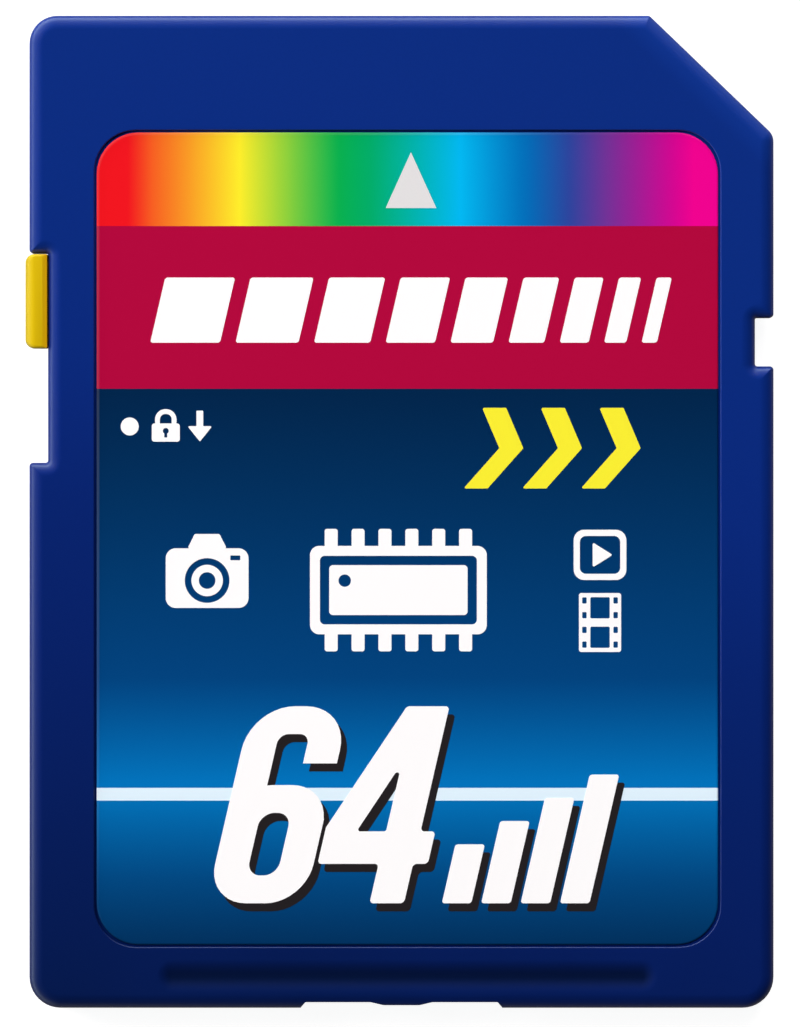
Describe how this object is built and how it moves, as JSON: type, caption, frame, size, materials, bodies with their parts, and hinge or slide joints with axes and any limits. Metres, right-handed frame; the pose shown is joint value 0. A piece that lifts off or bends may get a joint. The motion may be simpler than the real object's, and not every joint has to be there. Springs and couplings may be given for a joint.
{
  "type": "memory card",
  "caption": "Flat full-size memory card: two plastic shells with a cut corner and side notches, printed label, sliding write-protect switch and a row of gold contacts on the back.",
  "frame": {"origin": "middle of the back face, at the centre of the card's length and width", "axes": "+Z out of the label face, +Y to the leading edge that enters the reader, +X to the side with the cut corner; the card lies on its back face with the label up"},
  "size_m": [0.0241, 0.032, 0.0021],
  "materials": {
    "card_plastic": "dark blue moulded plastic, satin, with softly rounded edges",
    "switch_plastic": "yellow moulded plastic, satin",
    "label_film": "printed film: a rainbow band, a crimson band and a blue fade with a pale line",
    "back_label_film": "plain pale film",
    "board_laminate": "green lacquered glass-fibre laminate",
    "contact_gold": "gold plating on copper",
    "chip_plastic": "black moulding compound",
    "lead_metal": "tinned leads",
    "solder": "bright solder",
    "capacitor_ceramic": "tan ceramic with tinned end caps",
    "resistor_ceramic": "black film on ceramic with tinned end caps"
  },
  "bodies": {
    "card": {"front_shell": "card_plastic", "back_shell": "card_plastic", "front_label": "label_film", "back_label": "back_label_film", "circuit_board": "board_laminate", "contact_1": "contact_gold", "contact_2": "contact_gold", "contact_3": "contact_gold", "contact_4": "contact_gold", "contact_5": "contact_gold", "contact_6": "contact_gold", "contact_7": "contact_gold", "contact_8": "contact_gold", "contact_9": "contact_gold", "flash_memory": "chip_plastic", "flash_leads": "lead_metal", "controller": "chip_plastic", "controller_lands": "solder", "capacitor_1": "capacitor_ceramic", "capacitor_2": "capacitor_ceramic", "capacitor_3": "capacitor_ceramic", "capacitor_4": "capacitor_ceramic", "capacitor_5": "capacitor_ceramic", "capacitor_6": "capacitor_ceramic", "resistor_1": "resistor_ceramic", "resistor_2": "resistor_ceramic", "resistor_3": "resistor_ceramic", "resistor_4": "resistor_ceramic"},
    "switch": {"write_protect_slider": "switch_plastic"}
  },
  "joints": [
    {"name": "write_protect_slide", "type": "slide", "parent": "card", "child": "switch", "axis": [0, -1, 0], "range_m": [0, 0.0036]}
  ]
}
